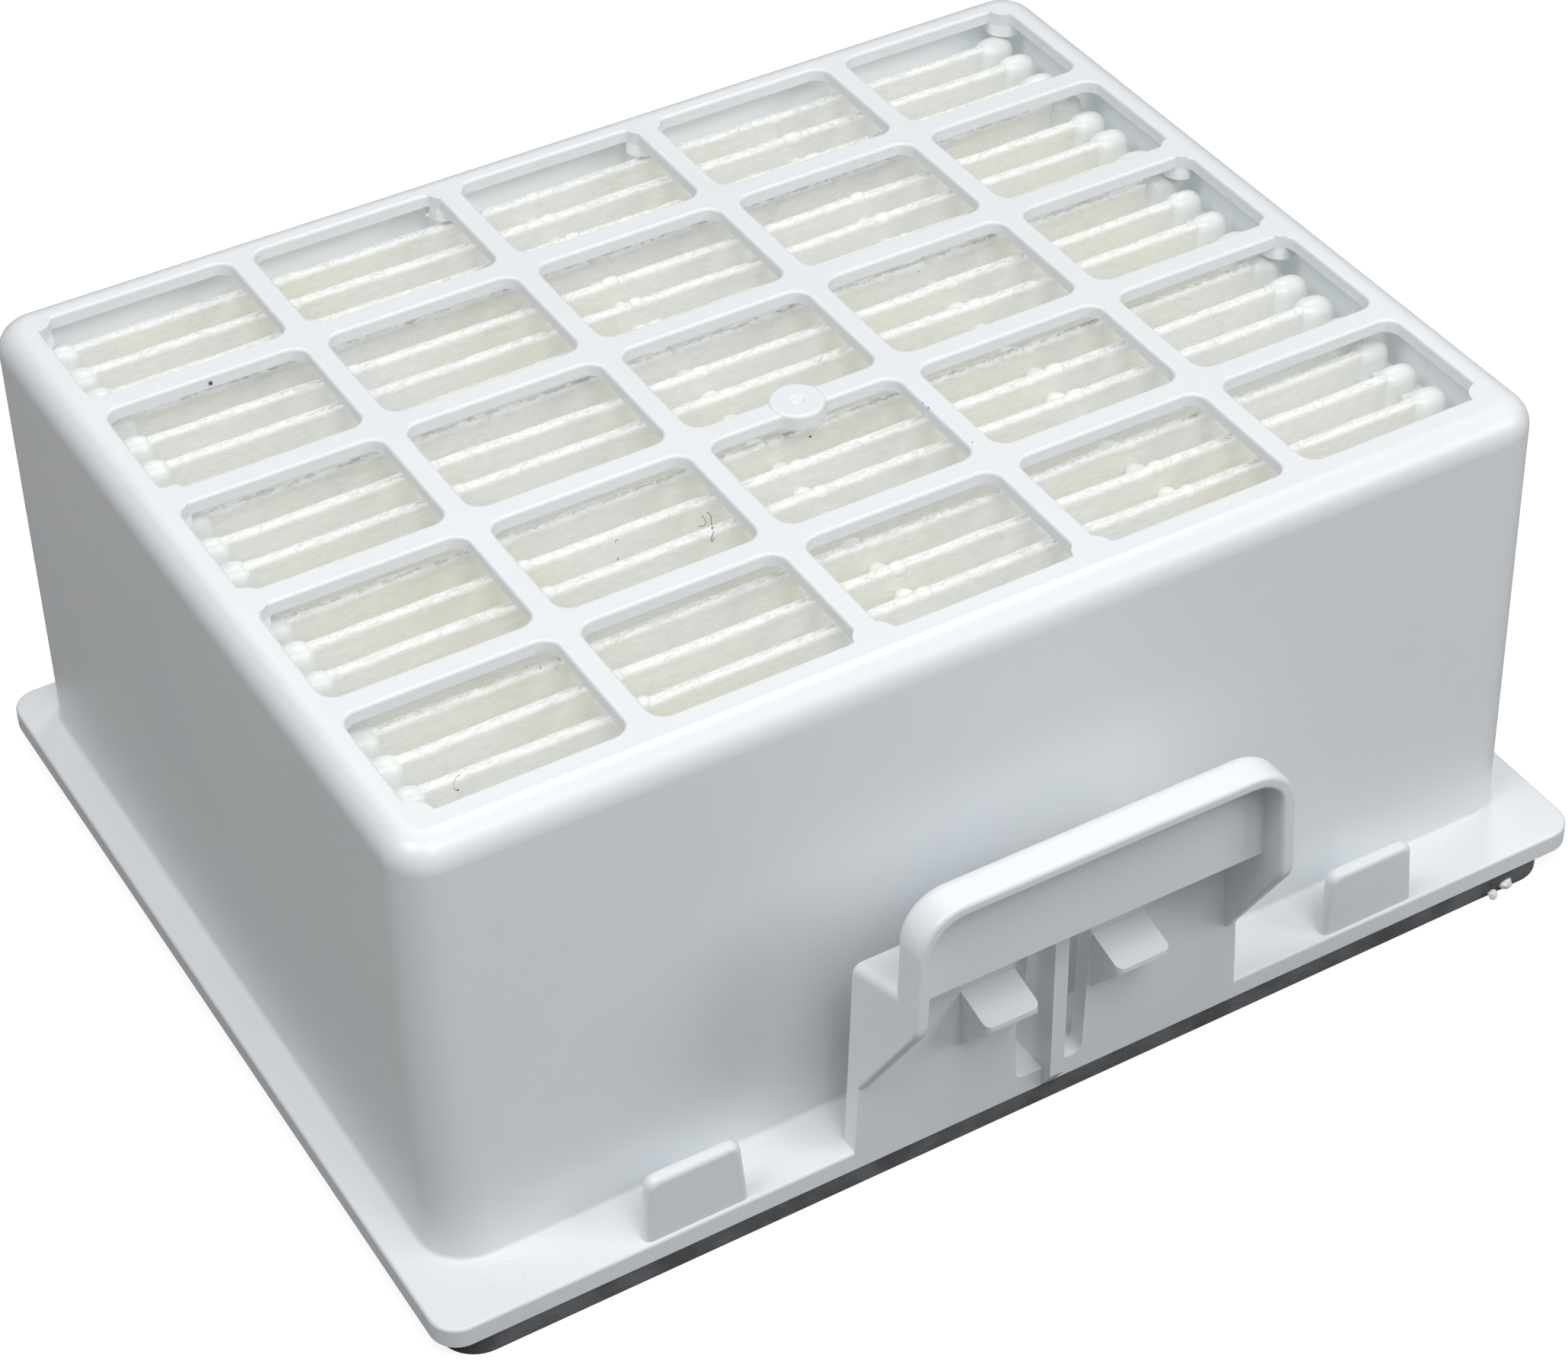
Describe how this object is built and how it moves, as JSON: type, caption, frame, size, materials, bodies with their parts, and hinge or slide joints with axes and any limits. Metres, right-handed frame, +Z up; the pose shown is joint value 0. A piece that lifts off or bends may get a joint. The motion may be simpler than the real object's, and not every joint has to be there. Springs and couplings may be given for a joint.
{
  "type": "exhaust filter cassette",
  "caption": "Moulded box-shaped air filter cassette: a windowed top face over a pleated filter sheet, a flange with a foam seal under it, and a springy front handle with barbed catches.",
  "frame": {"origin": "on the rest plane under the foam seal, below the middle of the box", "axes": "+X along the longer side, towards the right as the handle is seen; +Y from the handle side to the back; +Z up through the windowed face"},
  "size_m": [0.1342, 0.1175, 0.0567],
  "materials": {
    "housing_plastic": "soft satin gloss",
    "filter_paper": "fibrous matte",
    "pack_glue": "translucent satin",
    "bead_glue": "translucent satin",
    "foam_rubber": "matte foam"
  },
  "bodies": {
    "root": {"housing": "housing_plastic", "pleated_media": "filter_paper", "end_glue_left": "pack_glue", "end_glue_right": "pack_glue", "pack_sealant": "pack_glue", "top_bead_left": "bead_glue", "top_bead_middle": "bead_glue", "top_bead_right": "bead_glue", "low_bead_left": "bead_glue", "low_bead_middle": "bead_glue", "low_bead_right": "bead_glue", "flange_seal": "foam_rubber"}
  },
  "joints": []
}
